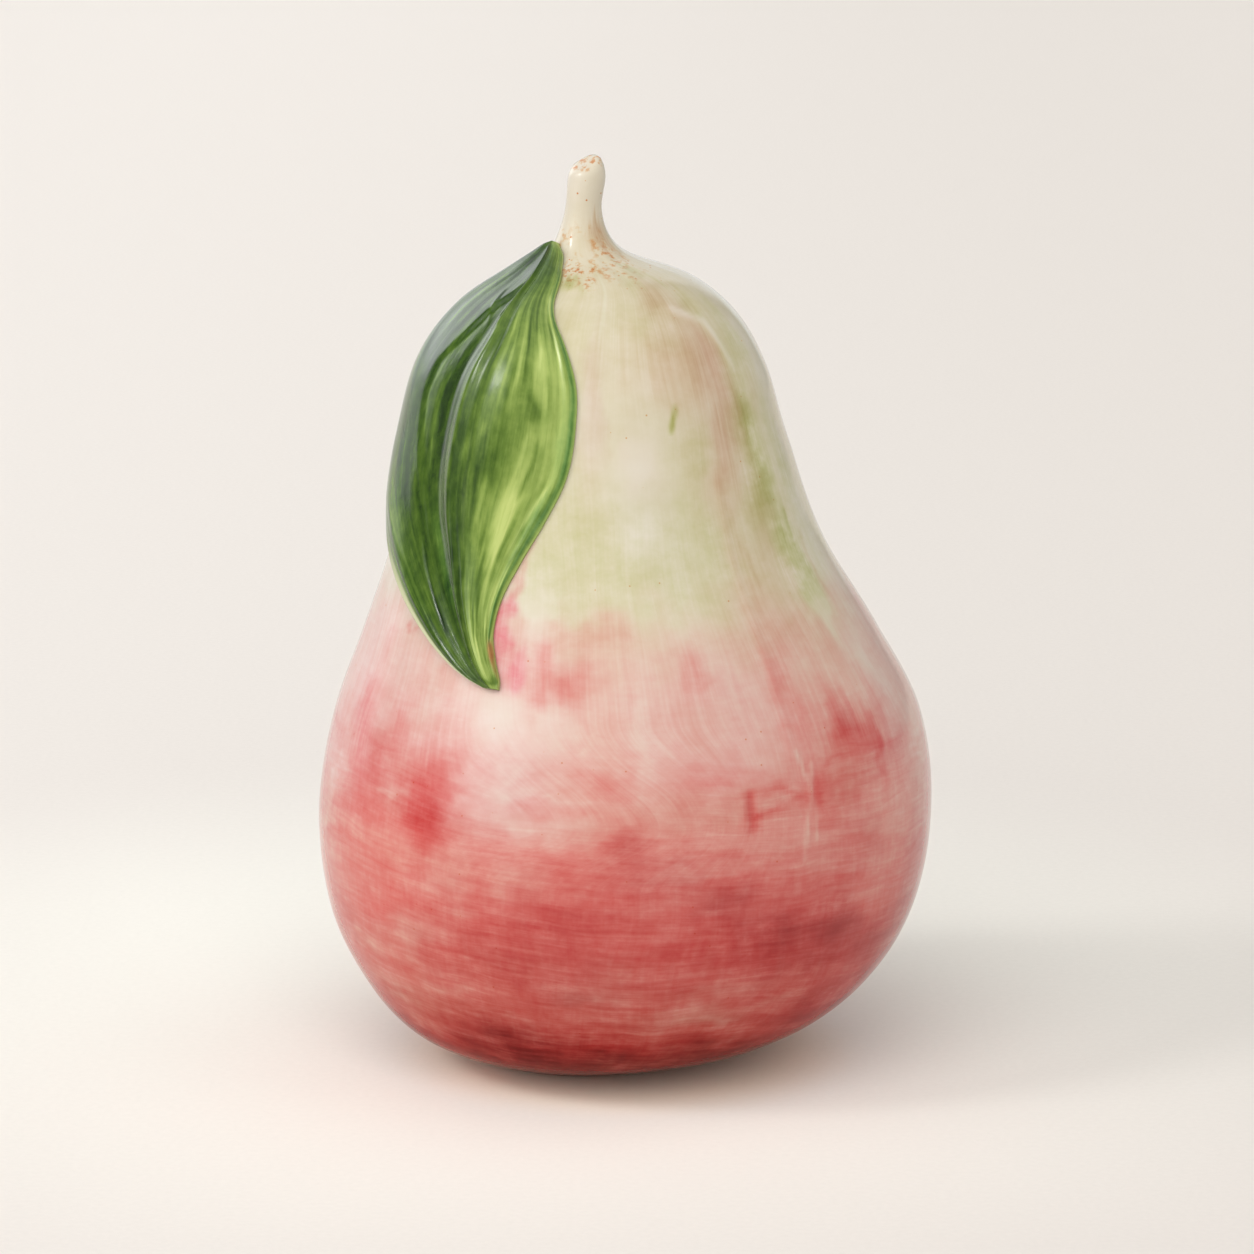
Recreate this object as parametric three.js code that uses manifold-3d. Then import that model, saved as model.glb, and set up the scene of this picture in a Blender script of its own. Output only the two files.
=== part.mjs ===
// A hand-painted glazed ceramic pear, 149.4 mm tall. A hollow cast body runs up into its stem in one piece,
// and a pressed clay leaf lies over the left of its shoulder. A vent in the flat foot lets out the kiln's air.
// Millimetres, +Z up. The front faces -Y, and the origin is on the table, under the middle of the belly.
import * as THREE from "three";
import { mergeVertices } from "three/addons/utils/BufferGeometryUtils.js";
import Module from "manifold-3d";

const wasm = await Module();
wasm.setup();

// Driving dimensions of the body
const TOTAL_HEIGHT = 149.4;
const BELLY_RADIUS = 50.4;
const NECK_RADIUS = 30.4;
const STEM_RADIUS = 3;
const TIP_RADIUS = 0.9;
const FOOT_RADIUS = 16;
const FOOT_LEAN = -7; // the foot stands left of the belly's middle
const WALL = 5;
const VENT_RADIUS = 4;
const TIP_SLANT = 0.41; // the stem's cut end rises this much for each millimetre to the right
const TIP_FALL = 0.45; // and falls this much for each millimetre to the front

// The body's outline from the foot to the stem's tip: ring radius, height, and the ring centre's shift to the right
const BODY_RINGS = [
  [FOOT_RADIUS, 0, FOOT_LEAN],
  [19.5, 1.2, FOOT_LEAN],
  [32.5, 6, -3.7],
  [41.5, 14, -1.5],
  [48, 26, -0.6],
  [BELLY_RADIUS, 42, 0],
  [48, 58, 0.4],
  [42, 72, -0.8],
  [35, 87, -2.8],
  [NECK_RADIUS, 103, -3.8],
  [27, 115, -4],
  [21.7, 123.5, -3.5],
  [14.2, 129.5, -3.2],
  [6.9, 133.2, -5.8],
  [4.3, 136.2, -6.7],
  [STEM_RADIUS, 140.5, -6.7],
  [STEM_RADIUS + 0.1, 145.2, -6.2],
  [2.8, 147.4, -6.1],
  [2.4, TOTAL_HEIGHT - 1.2, -6.3],
  [TIP_RADIUS, TOTAL_HEIGHT - 1, -5.4],
];
const TIP_RING = BODY_RINGS.length - 1;
const SLANT_RINGS = 3; // the slant fades in over this many rings below the tip

// The cavity follows the outline from just above the foot to the crown, where the clay is cast thick for the stem
const CAVITY_START = 0.6;
const CAVITY_END = 11.2;

// Facets
const STEPS_PER_RING = 3;
const SIDES = 60;
const CAVITY_STEPS = 22;
const CAVITY_SIDES = 30;

// The leaf's outline from its base at the stem to its tip: height on the body, and how far round the body from
// the front, towards the left, its right edge, rib and left edge lie, in degrees
const LEAF_STATIONS = [
  [135.2, 54, 58, 62],
  [133.6, 37, 54, 76],
  [131.2, 32.5, 50, 84],
  [127.5, 28, 46, 93],
  [122, 15, 44, 101],
  [116, 8, 46, 104],
  [109, 7.5, 47.5, 103],
  [102, 10, 48, 99],
  [95.5, 15.8, 46.5, 91],
  [89, 22.5, 43, 78],
  [83, 27.5, 39.5, 63.5],
  [78, 29, 36, 51.5],
  [74, 27.8, 33, 42.3],
  [71.2, 26.4, 30.2, 35.2],
  [69.7, 26.3, 28, 29.7],
];
const LEAF_GAP = 0.3; // clear of the body, so that the two solids only touch
const LEAF_RIM = 0.9; // the blade's thickness at both ends

// The blade's section half way down: a place across it, from -1 at the right edge through 0 on the rib to 1 at the
// left edge, and its thickness there. The left half is a shallow channel between the rib and a rolled margin.
const LEAF_SECTION = [
  [-1, 0.4],
  [-0.8, 1.1],
  [-0.5, 2.1],
  [-0.22, 2.6],
  [-0.1, 2.5],
  [0, 3.3],
  [0.1, 2.4],
  [0.3, 2.2],
  [0.6, 2.8],
  [0.84, 2.8],
  [1, 1],
];
const LEAF_STEPS = 30;
const LEAF_CELLS = 20;

const bodyCurve = new THREE.CatmullRomCurve3(
  BODY_RINGS.map(([radius, height, lean]) => new THREE.Vector3(radius, height, lean)),
  false,
  "catmullrom",
  0.5,
);

// The body's surface at a ring number, whole or not, and an angle round it from the front towards the left
function bodyPoint(ring, angle) {
  const { x: radius, y: height, z: lean } = bodyCurve.getPoint(THREE.MathUtils.clamp(ring / TIP_RING, 0, 1));
  const cut = THREE.MathUtils.smoothstep(ring, TIP_RING - SLANT_RINGS, TIP_RING);
  const right = -radius * Math.sin(angle);
  const back = -radius * Math.cos(angle);
  return new THREE.Vector3(lean + right, back, height + cut * (TIP_SLANT * right + TIP_FALL * back));
}

function bodyNormal(ring, angle) {
  const small = 1e-3;
  const along = bodyPoint(ring + small, angle).sub(bodyPoint(ring - small, angle));
  const round = bodyPoint(ring, angle + small).sub(bodyPoint(ring, angle - small));
  return along.cross(round).normalize();
}

// A point raised above the body's surface, or sunk below it
function raised(ring, angle, lift) {
  return bodyPoint(ring, angle).addScaledVector(bodyNormal(ring, angle), lift);
}

// The ring number at a height on the body
function ringAt(height) {
  let low = 0;
  let high = TIP_RING;
  for (let i = 0; i < 40; i++) {
    const middle = (low + high) / 2;
    if (bodyCurve.getPoint(middle / TIP_RING).y < height) low = middle;
    else high = middle;
  }
  return low;
}

// A closed mesh through loops of points, each end filled by a fan to its middle
function loft(loops) {
  const count = loops[0].length;
  const positions = [];
  const triangle = (a, b, c) => [a, b, c].forEach((p) => positions.push(p.x, p.y, p.z));
  for (let i = 0; i + 1 < loops.length; i++) {
    for (let j = 0; j < count; j++) {
      const next = (j + 1) % count;
      triangle(loops[i][j], loops[i + 1][j], loops[i + 1][next]);
      triangle(loops[i][j], loops[i + 1][next], loops[i][next]);
    }
  }
  const middle = (loop) => loop.reduce((sum, p) => sum.add(p), new THREE.Vector3()).divideScalar(count);
  const first = loops[0];
  const last = loops[loops.length - 1];
  const start = middle(first);
  const end = middle(last);
  for (let j = 0; j < count; j++) {
    const next = (j + 1) % count;
    triangle(start, first[j], first[next]);
    triangle(end, last[next], last[j]);
  }
  return new THREE.BufferGeometry().setAttribute("position", new THREE.Float32BufferAttribute(positions, 3));
}

// A closed three.js geometry as a solid that can be cut
function solid(geometry) {
  const bare = geometry.clone();
  bare.deleteAttribute("normal");
  bare.deleteAttribute("uv");
  const merged = mergeVertices(bare, 1e-4);
  return new wasm.Manifold(
    new wasm.Mesh({
      numProp: 3,
      vertProperties: merged.attributes.position.array,
      triVerts: new Uint32Array(merged.index.array),
    }),
  );
}

function geometryOf(manifold) {
  const mesh = manifold.getMesh();
  return new THREE.BufferGeometry()
    .setAttribute("position", new THREE.BufferAttribute(mesh.vertProperties, 3))
    .setIndex(new THREE.BufferAttribute(mesh.triVerts, 1));
}

// Loops of the body's surface between two ring numbers, lifted from it by a distance
function bodyLoops(from, to, steps, sides, lift) {
  const loops = [];
  for (let i = 0; i <= steps; i++) {
    const ring = THREE.MathUtils.lerp(from, to, i / steps);
    const loop = [];
    for (let j = 0; j < sides; j++) loop.push(raised(ring, (2 * Math.PI * j) / sides, lift));
    loops.push(loop);
  }
  return loops;
}

function bodyGeometry() {
  const outside = solid(loft(bodyLoops(0, TIP_RING, TIP_RING * STEPS_PER_RING, SIDES, 0)));
  const cavity = solid(loft(bodyLoops(CAVITY_START, CAVITY_END, CAVITY_STEPS, CAVITY_SIDES, -WALL)));
  const drill = new THREE.CylinderGeometry(VENT_RADIUS, VENT_RADIUS, 4 * WALL, 24)
    .rotateX(Math.PI / 2)
    .translate(FOOT_LEAN, 0, 0);
  return geometryOf(outside.subtract(cavity).subtract(solid(drill)));
}

const leafCurves = [1, 2, 3].map(
  (column) =>
    new THREE.CatmullRomCurve3(
      LEAF_STATIONS.map((station) => new THREE.Vector3(station[0], station[column], 0)),
      false,
      "catmullrom",
      0.5,
    ),
);

// The blade's thickness, which thins from the full section towards both ends
function leafThickness(along, across) {
  const fullness = Math.sin(Math.PI * along) ** 0.45;
  const cell = LEAF_SECTION.findIndex(([place]) => place >= across);
  const [from, low] = LEAF_SECTION[Math.max(cell - 1, 0)];
  const [to, high] = LEAF_SECTION[cell];
  const section = THREE.MathUtils.lerp(low, high, THREE.MathUtils.smoothstep(across, from, to));
  return THREE.MathUtils.lerp(LEAF_RIM, section, fullness);
}

// One closed loop round the blade's section: along its underside to the left edge, then back over its top
function leafLoop(along) {
  const [right, rib, left] = leafCurves.map((curve) => curve.getPoint(along));
  const ring = ringAt(right.x);
  const place = (across, lift) => {
    const edge = across < 0 ? right.y : left.y;
    const degrees = THREE.MathUtils.lerp(rib.y, edge, Math.abs(across));
    return raised(ring, THREE.MathUtils.degToRad(degrees), lift);
  };
  const loop = [];
  for (let i = 0; i <= LEAF_CELLS; i++) loop.push(place(-1 + (2 * i) / LEAF_CELLS, LEAF_GAP));
  for (let i = 0; i <= LEAF_CELLS; i++) {
    const across = 1 - (2 * i) / LEAF_CELLS;
    loop.push(place(across, LEAF_GAP + leafThickness(along, across)));
  }
  return loop;
}

function leafGeometry() {
  const loops = [];
  for (let i = 0; i <= LEAF_STEPS; i++) loops.push(leafLoop(i / LEAF_STEPS));
  return loft(loops);
}

function piece(name, geometry, material) {
  geometry.computeVertexNormals();
  const mesh = new THREE.Mesh(geometry, material);
  mesh.name = name;
  return mesh;
}

const blush = new THREE.MeshStandardMaterial({ color: 0xd98f83, roughness: 0.22, metalness: 0 });
const green = new THREE.MeshStandardMaterial({ color: 0x5f7f35, roughness: 0.18, metalness: 0 });

const pear = new THREE.Group();
pear.add(piece("pear_body", bodyGeometry(), blush));
pear.add(piece("leaf", leafGeometry(), green));

export default pear;
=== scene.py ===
# %% [markdown]
# A hand-painted ceramic pear
#
# This lesson dresses a ceramic pear in Blender. The real one was cast hollow from liquid clay, given a
# pressed clay leaf, painted with a flat brush and dipped in clear glaze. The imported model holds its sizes,
# so every piece here is made from the same outline and lands exactly where the model says.

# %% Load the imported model
import math

import bpy
import numpy as np
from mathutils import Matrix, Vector


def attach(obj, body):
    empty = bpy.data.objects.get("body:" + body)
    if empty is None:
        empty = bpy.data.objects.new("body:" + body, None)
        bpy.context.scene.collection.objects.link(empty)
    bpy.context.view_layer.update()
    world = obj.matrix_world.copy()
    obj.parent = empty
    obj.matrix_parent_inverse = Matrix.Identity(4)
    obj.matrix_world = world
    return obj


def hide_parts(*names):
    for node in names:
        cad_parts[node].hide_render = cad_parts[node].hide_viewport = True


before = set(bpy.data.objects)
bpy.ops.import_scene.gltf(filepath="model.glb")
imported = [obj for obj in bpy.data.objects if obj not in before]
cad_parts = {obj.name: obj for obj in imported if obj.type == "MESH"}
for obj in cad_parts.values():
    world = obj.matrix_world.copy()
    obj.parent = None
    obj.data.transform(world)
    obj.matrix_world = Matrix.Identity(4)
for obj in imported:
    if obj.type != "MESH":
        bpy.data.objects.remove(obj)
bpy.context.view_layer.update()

# %% [markdown]
# The outline
#
# The pear is round, but not on one axis: its foot stands to the left of its belly and the stem leans. So
# the outline is a list of rings, each with a radius, a height and the shift of its middle to the right. A
# Catmull-Rom curve joins them smoothly, which is the same curve that the solid model was made with.

# %% Rings of the body
MM = 0.001
TOTAL_HEIGHT = 149.4
BELLY_RADIUS = 50.4
NECK_RADIUS = 30.4
STEM_RADIUS = 3
TIP_RADIUS = 0.9
FOOT_RADIUS = 16
FOOT_LEAN = -7
WALL = 5
VENT_RADIUS = 4
TIP_SLANT = 0.41
TIP_FALL = 0.45
SLANT_RINGS = 3

BODY_RINGS = [
    (FOOT_RADIUS, 0, FOOT_LEAN),
    (19.5, 1.2, FOOT_LEAN),
    (32.5, 6, -3.7),
    (41.5, 14, -1.5),
    (48, 26, -0.6),
    (BELLY_RADIUS, 42, 0),
    (48, 58, 0.4),
    (42, 72, -0.8),
    (35, 87, -2.8),
    (NECK_RADIUS, 103, -3.8),
    (27, 115, -4),
    (21.7, 123.5, -3.5),
    (14.2, 129.5, -3.2),
    (6.9, 133.2, -5.8),
    (4.3, 136.2, -6.7),
    (STEM_RADIUS, 140.5, -6.7),
    (STEM_RADIUS + 0.1, 145.2, -6.2),
    (2.85, 146.9, -6.1),
    (2.2, TOTAL_HEIGHT - 1.4, -6.15),
    (TIP_RADIUS, TOTAL_HEIGHT - 1.05, -5.8),
]
TIP_RING = len(BODY_RINGS) - 1


# %% The curve through the rings
def spline(points, places):
    """Catmull-Rom curve through points, at places counted in points from the first."""
    points = np.asarray(points, float)
    padded = np.vstack([2 * points[0] - points[1], points, 2 * points[-1] - points[-2]])
    places = np.clip(np.asarray(places, float), 0, len(points) - 1)
    span = np.minimum(places.astype(int), len(points) - 2)
    t = (places - span)[..., None]
    a, b, c, d = (padded[span + k] for k in range(4))
    return b + 0.5 * t * (c - a + t * (2 * a - 5 * b + 4 * c - d + t * (3 * (b - c) + d - a)))


def smoothstep(value, low, high):
    t = np.clip((value - low) / (high - low), 0, 1)
    return t * t * (3 - 2 * t)


def body_point(ring, angle):
    """A point on the body in millimetres. The angle runs from the front towards the left."""
    radius, height, lean = np.moveaxis(spline(BODY_RINGS, ring), -1, 0)
    cut = smoothstep(ring, TIP_RING - SLANT_RINGS, TIP_RING)
    right = -radius * np.sin(angle)
    back = -radius * np.cos(angle)
    return np.stack([lean + right, back, height + cut * (TIP_SLANT * right + TIP_FALL * back)], -1)


def body_normal(ring, angle):
    small = 1e-3
    along = body_point(ring + small, angle) - body_point(ring - small, angle)
    round_it = body_point(ring, angle + small) - body_point(ring, angle - small)
    normal = np.cross(along, round_it)
    return normal / np.linalg.norm(normal, axis=-1, keepdims=True)


def raised(ring, angle, lift):
    """A point that stands lift millimetres off the body's surface."""
    return body_point(ring, angle) + body_normal(ring, angle) * np.asarray(lift)[..., None]


TABLE_SIZE = 4001
ring_table = np.linspace(0, TIP_RING, TABLE_SIZE)
height_table = spline(BODY_RINGS, ring_table)[:, 1]


def ring_at(height):
    return np.interp(height, height_table, ring_table)


print("neck ring", float(ring_at(103)))


# %% [markdown]
# From rings to a mesh
#
# A grid of points becomes a mesh by joining each point to its neighbours. The helper below takes such a
# grid, row by row, closes it round, and can fill the first and last rows with a fan. Everything on this
# pear is one such grid, which keeps the faces even and the edges clean. A second helper writes a number or
# a vector at every point, and that is how the paint gets from the brush strokes below into the material.

# %% Helpers that skin a grid and carry paint
def placed(name, data):
    """A new object in the scene."""
    made = bpy.data.objects.new(name, data)
    bpy.context.scene.collection.objects.link(made)
    return made


def skin(name, grid):
    """A closed tube of faces over rows and columns of points in millimetres, with a fan at both ends."""
    rows, columns = grid.shape[:2]
    points = grid.reshape(-1, 3) * MM
    index = np.arange(rows * columns).reshape(rows, columns)
    beside = np.roll(index, -1, axis=1)
    faces = np.stack([index[:-1], index[1:], beside[1:], beside[:-1]], -1).reshape(-1, 4).tolist()
    first = rows * columns
    last = first + 1
    faces += [[first, int(a), int(b)] for a, b in zip(index[0], beside[0])]
    faces += [[last, int(b), int(a)] for a, b in zip(index[-1], beside[-1])]
    ends = [grid[0].mean(0) * MM, grid[-1].mean(0) * MM]
    mesh = bpy.data.meshes.new(name)
    mesh.from_pydata(np.vstack([points, *ends]).tolist(), [], faces)
    mesh.shade_smooth()
    piece = placed(name, mesh)
    print(name, len(mesh.vertices), "points", len(mesh.polygons), "faces")
    return piece


def carry(piece, name, values):
    """Store a number or a vector for each point of a skinned grid. The fan points repeat the end rows."""
    values = np.asarray(values, float)
    size = values.shape[2] if values.ndim == 3 else 1
    flat = values.reshape(-1, size)
    ends = [values.reshape(values.shape[0], -1, size)[row].mean(0, keepdims=True) for row in (0, -1)]
    flat = np.vstack([flat, *ends]).astype(np.float32)
    kind, field = ("FLOAT", "value") if size == 1 else ("FLOAT_VECTOR", "vector")
    attribute = piece.data.attributes.new(name, kind, "POINT")
    attribute.data.foreach_set(field, flat.ravel())


# %% [markdown]
# Where on the pear
#
# Every mark has a place given by two numbers, as on a globe: degrees round the pear from the front towards
# the left, and millimetres up from the table. The points are laid closer together on the front half, where
# the finest brush marks are.

# %% Grid of the outside
FRONT_SIDES = 284
BACK_SIDES = 100
FRONT_EDGE = 95  # degrees round where the wider cells of the back begin
OUTSIDE_ROWS = 232
OUTLINE_STEPS = 3000
LEAST_GIRTH = 3

front_angles = np.linspace(-FRONT_EDGE, FRONT_EDGE, FRONT_SIDES, endpoint=False)
back_angles = np.linspace(FRONT_EDGE, 360 - FRONT_EDGE, BACK_SIDES, endpoint=False)
angles = np.radians(np.concatenate([front_angles, back_angles]))


def even_rings(first, last, count):
    """Ring numbers that lie at even distances along the outline."""
    fine = np.linspace(first, last, OUTLINE_STEPS)
    outline = spline(BODY_RINGS, fine)[:, :2]
    run = np.concatenate([[0], np.cumsum(np.linalg.norm(np.diff(outline, axis=0), axis=1))])
    return np.interp(np.linspace(0, run[-1], count), run, fine)


outside_rings = even_rings(TIP_RING, 0, OUTSIDE_ROWS)[:, None] + 0 * angles
outside_angles = angles + 0 * outside_rings
around = (np.degrees(outside_angles) + 180) % 360 - 180
up = spline(BODY_RINGS, outside_rings)[..., 1]
girth = np.maximum(spline(BODY_RINGS, outside_rings)[..., 0], LEAST_GIRTH)

# %% [markdown]
# Brush strokes as numbers
#
# Paint is stored as a density: 0 is bare clay, 1 is one full coat. A wash is a soft oval of density, and a
# line is a soft band between two places. Both are added to a layer, and a negative density wipes paint
# away, as a damp brush does.

# %% Noise that shakes the hand
MEAN_RADIUS = 45  # millimetres, to turn degrees round the belly into lengths
KNOT_HEIGHT = 160  # millimetres, so that the noise reaches over the stem


def waver(cells_round, cell_height, seed):
    """Smooth noise from -1 to 1 over the pear, which closes round its back."""
    knots = np.random.default_rng(seed).uniform(-1, 1, (int(KNOT_HEIGHT / cell_height) + 3, cells_round))
    u = (around % 360) / 360 * cells_round
    v = np.clip(up / cell_height, 0, knots.shape[0] - 2.001)
    i = v.astype(int)
    j = u.astype(int) % cells_round
    k = (j + 1) % cells_round
    fu = smoothstep(u - np.floor(u), 0, 1)
    fv = smoothstep(v - i, 0, 1)
    low = knots[i, j] * (1 - fu) + knots[i, k] * fu
    high = knots[i + 1, j] * (1 - fu) + knots[i + 1, k] * fu
    return low * (1 - fv) + high * fv


hand_round = 2.6 * waver(52, 5, 1) + 1.1 * waver(150, 1.7, 2) + 0.8 * waver(90, 9, 3)
hand_up = 1.5 * waver(40, 4.5, 4) + 0.7 * waver(110, 1.6, 5)

# %% Washes and lines
WASH_EDGE = 1.4  # a higher power gives an oval with a harder edge


def wash(layer, place, size, density, tilt=0):
    """A soft oval. The place and the size are in degrees round and millimetres up, the tilt in degrees."""
    turn = math.radians(tilt)
    right = (around + hand_round - place[0] + 180) % 360 - 180
    rise = up + hand_up - place[1]
    scale = math.pi / 180 * MEAN_RADIUS
    flat = right * scale
    u = (flat * math.cos(turn) + rise * math.sin(turn)) / (size[0] * scale)
    v = (rise * math.cos(turn) - flat * math.sin(turn)) / size[1]
    layer += density * np.exp(-((u * u + v * v) ** WASH_EDGE))


def dab(draw, layer, rows):
    """One soft oval for each row: two numbers for its place, two for its size, its density and any tilt."""
    for place_round, place_up, size_round, size_up, density, *tilt in rows:
        draw(layer, (place_round, place_up), (size_round, size_up), density, *tilt)


def line(layer, points, width, density):
    """A thin stroke through places, with its width in millimetres."""
    nearest = np.full(around.shape, 1e9)
    scale = np.pi / 180 * girth
    for (from_turn, from_up), (to_turn, to_up) in zip(points, points[1:]):
        run = np.stack([(to_turn - from_turn) * scale, 0 * scale + to_up - from_up], -1)
        here = np.stack([(around - from_turn) * scale, up - from_up], -1)
        share = np.clip((here * run).sum(-1) / (run * run).sum(-1), 0, 1)
        nearest = np.minimum(nearest, np.linalg.norm(here - run * share[..., None], axis=-1))
    layer += density * np.exp(-((nearest / width) ** 2))


def band(knots):
    """A density that depends on the height alone, given at a few heights."""
    heights, densities = zip(*knots)
    return np.interp(up + 1.6 * hand_up, heights, densities)


# %% [markdown]
# Rose and maroon
#
# The lower two thirds were brushed round and round in rose, with maroon worked in at the bottom and in the
# shaded dips. The rose fades upwards over the belly, and single dabs stand above it. The strokes are placed
# one by one from the real piece, and the back goes on with dabs of the same kind.

# %% Rose strokes
rose = band(
    [(0, 1.9), (2, 1.9), (4.5, 2.0), (6.5, 2.1), (9, 2.05), (13, 1.8), (18, 1.45), (24, 1.5), (31, 1.62),
     (38, 1.5), (43, 1.3), (47, 1.08), (51, 0.8), (55, 0.64), (60, 0.52), (66, 0.4), (72, 0.36), (77, 0.26),
     (81, 0.1), (85, 0.02), (90, 0)]
)
maroon = band(
    [(0, 0.8), (4, 0.8), (7, 0.75), (11, 0.52), (15, 0.28), (20, 0.2), (28, 0.28), (34, 0.2), (40, 0.14),
     (46, 0.1), (54, 0.04), (64, 0)]
)

ROSE_DABS = [
    (39.5, 53, 6.5, 7.5, 0.85),
    (43, 49, 4, 5, 0.3),
    (66, 45, 5, 4, 0.2),
    (44, 30, 9, 4, -0.42),
    (34, 42, 5, 6, -0.32),
    (20, 40, 5, 6, -0.36),
    (-58, 45, 9, 6, -0.4),
    (-54, 33, 10, 6, -0.34),
    (-12, 45, 16, 2.5, -0.2),
    (6, 24, 8, 4, -0.26),
    (56, 62, 5, 3, -0.2),
    (-36, 66, 4, 8, 0.3),
    (6, 57, 4, 3, 0.25),
    (-30, 28, 6, 4, 0.2),
    (40, 48.5, 6, 2.6, 0.4),
    (56, 57, 11, 9, 0.42),
    (54, 60, 8, 3.5, 0.3),
    (58.5, 54, 5, 4, 0.25),
    (66, 63, 4, 5, 0.2),
    (76, 60, 4, 6, 0.15),
    (50, 47.5, 16, 1.8, 0.2),
    (22, 35.5, 11, 5, 0.22),
    (13, 34.5, 8, 4, 0.34),
    (0.5, 47, 5, 2.4, 0.38),
    (9, 44, 8, 2.8, 0.26, -8),
    (-4.5, 42, 10, 3.4, 0.3),
    (-18, 39, 9, 3.4, 0.38),
    (-31, 33, 9, 4, 0.34),
    (-47, 30, 13, 3.4, 0.25),
    (-56, 27, 9, 3, 0.22),
    (18, 26, 10, 3, 0.24),
    (38, 27, 6, 1.6, 0.32, -8),
    (10, 13, 26, 5, 0.3),
    (-45, 12, 18, 5, 0.4),
    (-48, 55, 8, 5, 0.25),
    (-5, 30, 12, 4, 0.14),
    (-11, 40, 4, 2, -0.3),
    (-38, 43, 5, 2.4, -0.3),
    (70, 25, 8, 10, 0.2),
    (-40, 26, 20, 6, 0.2),
    (64, 63, 5, 3, 0.16),
    (-40, 65, 3.5, 10, 0.22),
    (1, 57, 4, 4, 0.2),
    (-53, 60, 5, 4, 0.14),
    (-22, 54, 4, 2.4, -0.22),
    (41, 29, 5, 3.4, -0.3),
    (19, 40, 4, 4, -0.16),
    (-62, 64, 4, 6, -0.2),
    (-62, 14, 26, 12, 0.9),
    (-32, 31, 12, 5, 0.42),
    (-10, 30, 6, 3, 0.14),
    (20, 9, 30, 2.4, 0.3),
    (-22, 32, 8, 3, 0.26),
    (-30, 46, 7, 2.6, -0.12),
    (-36, 53, 4, 2.4, 0.2),
    (-52, 50, 5, 2.4, 0.16),
    (4, 38, 5, 3, 0.16),
    (60, 48, 4, 4, 0.2),
    (44, 47, 4, 2.4, 0.2),
    (27, 47, 8, 3.4, -0.2),
    (34, 38, 12, 3, -0.14),
    (48, 14, 9, 3, -0.26),
    (74, 47, 4, 5, -0.2),
    (52, 59, 5, 3, -0.2),
    (-48, 63.5, 5, 4.4, 0.75),
    (-49.5, 60, 5.5, 2.6, 0.36),
    (-38, 55, 4.5, 3.6, 0.5),
    (-39.5, 50, 4, 2.6, 0.32),
    (-56, 58, 1.5, 6, 0.5, -6),
    (-62, 64, 5, 4, 0.25),
    (-60, 57, 12, 8, 0.25),
    (-24.5, 57.5, 8, 2.2, 0.14),
    (-16, 57, 6, 2.2, 0.22),
    (-16, 72.5, 3.6, 3.6, 0.26),
    (15.5, 73, 3.2, 3.4, 0.46),
    (10.5, 70.5, 3, 2.6, 0.42),
    (17, 68.6, 2.4, 1.8, 0.3),
    (6.5, 73, 3.6, 2.8, 0.2),
    (9, 79, 10, 2.4, 0.18),
    (54, 77, 1.2, 0.9, 0.5),
    (62, 72, 2.5, 3, 0.14),
    (18, 63, 9, 6, -0.24),
    (7, 57, 9, 5, -0.12, 30),
    (29, 66, 6, 4.5, -0.26),
    (23, 53, 7, 5, -0.38),
    (13, 49.5, 8, 2.4, -0.34),
    (-7, 50.5, 10, 2, -0.1),
    (-37, 46, 5, 3, -0.14),
    (45.5, 63, 4, 3, -0.16),
    (56, 61, 5, 3.5, -0.32),
    (20, 80, 3.5, 6, -0.3),
    (-28, 118, 16, 6, 0.07),
    (3, 111, 4, 12, 0.07),
    (-38, 100, 7, 9, 0.05),
    (-40, 84, 7, 7, 0.1),
    (-6, 84, 5, 6, -0.06),
    (-65, 66, 5, 10, -0.2),
    (47, 25, 11, 3, -0.42, -6),
    (52, 17, 14, 5, -0.4),
    (-18, 18, 9, 3, -0.42),
    (-5, 17, 8, 2.4, -0.28),
    (-24, 22.4, 8, 1.1, -0.34),
    (-38, 14, 10, 4, -0.34),
    (60, 34, 10, 7, -0.3),
    (70, 42, 8, 14, -0.3),
    (-74, 45, 8, 16, -0.3),
    (-72, 22, 10, 8, -0.35),
]
MAROON_DABS = [
    (13, 34, 8, 4, 0.14),
    (-4.5, 42, 10, 3, 0.14),
    (-19, 38.5, 6, 2.4, 0.3),
    (-29, 33, 8, 3.6, 0.34),
    (-37, 31, 10, 3, 0.26),
    (-50, 29.5, 12, 2.8, 0.26),
    (-36, 25, 10, 2.4, 0.16),
    (-58, 26, 8, 2.6, 0.2),
    (18, 26, 10, 2.6, 0.12),
    (8, 22, 5, 1.6, 0.22),
    (21, 12.5, 15, 4, 0.44),
    (32, 12, 12, 3, 0.16),
    (6, 8, 20, 2.6, 0.36),
    (-16, 9, 16, 3, 0.2),
    (0, 47, 4, 2, 0.16),
    (40, 49, 6, 2.6, 0.12),
    (55, 30, 18, 18, -0.2),
    (-56, 33, 9, 7, -0.36),
    (-60, 45, 6, 7, -0.26),
    (-30, 28, 6, 4, 0.15),
    (-49, 63, 3, 2.6, 0.12),
    (-20, 6, 60, 4, 0.3),
    (45, 8, 14, 7, -0.3),
]
dab(wash, rose, ROSE_DABS)
dab(wash, maroon, MAROON_DABS)

# %% Thin rose lines and the marks of the brush's tip
line(rose, [(-24, 51), (-28, 51.8), (-33, 53)], 0.5, 0.4)
line(rose, [(-23, 54), (-23.4, 49.4)], 0.9, 0.75)
line(rose, [(-37, 58), (-35, 50), (-34, 43)], 0.45, -0.4)
line(rose, [(-34, 60), (-36.4, 52), (-36.8, 46)], 0.4, -0.35)
line(rose, [(-36, 100), (-35, 80), (-33, 60)], 0.7, 0.04)
line(rose, [(-44, 125), (-46, 112)], 1.4, 0.06)

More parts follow.
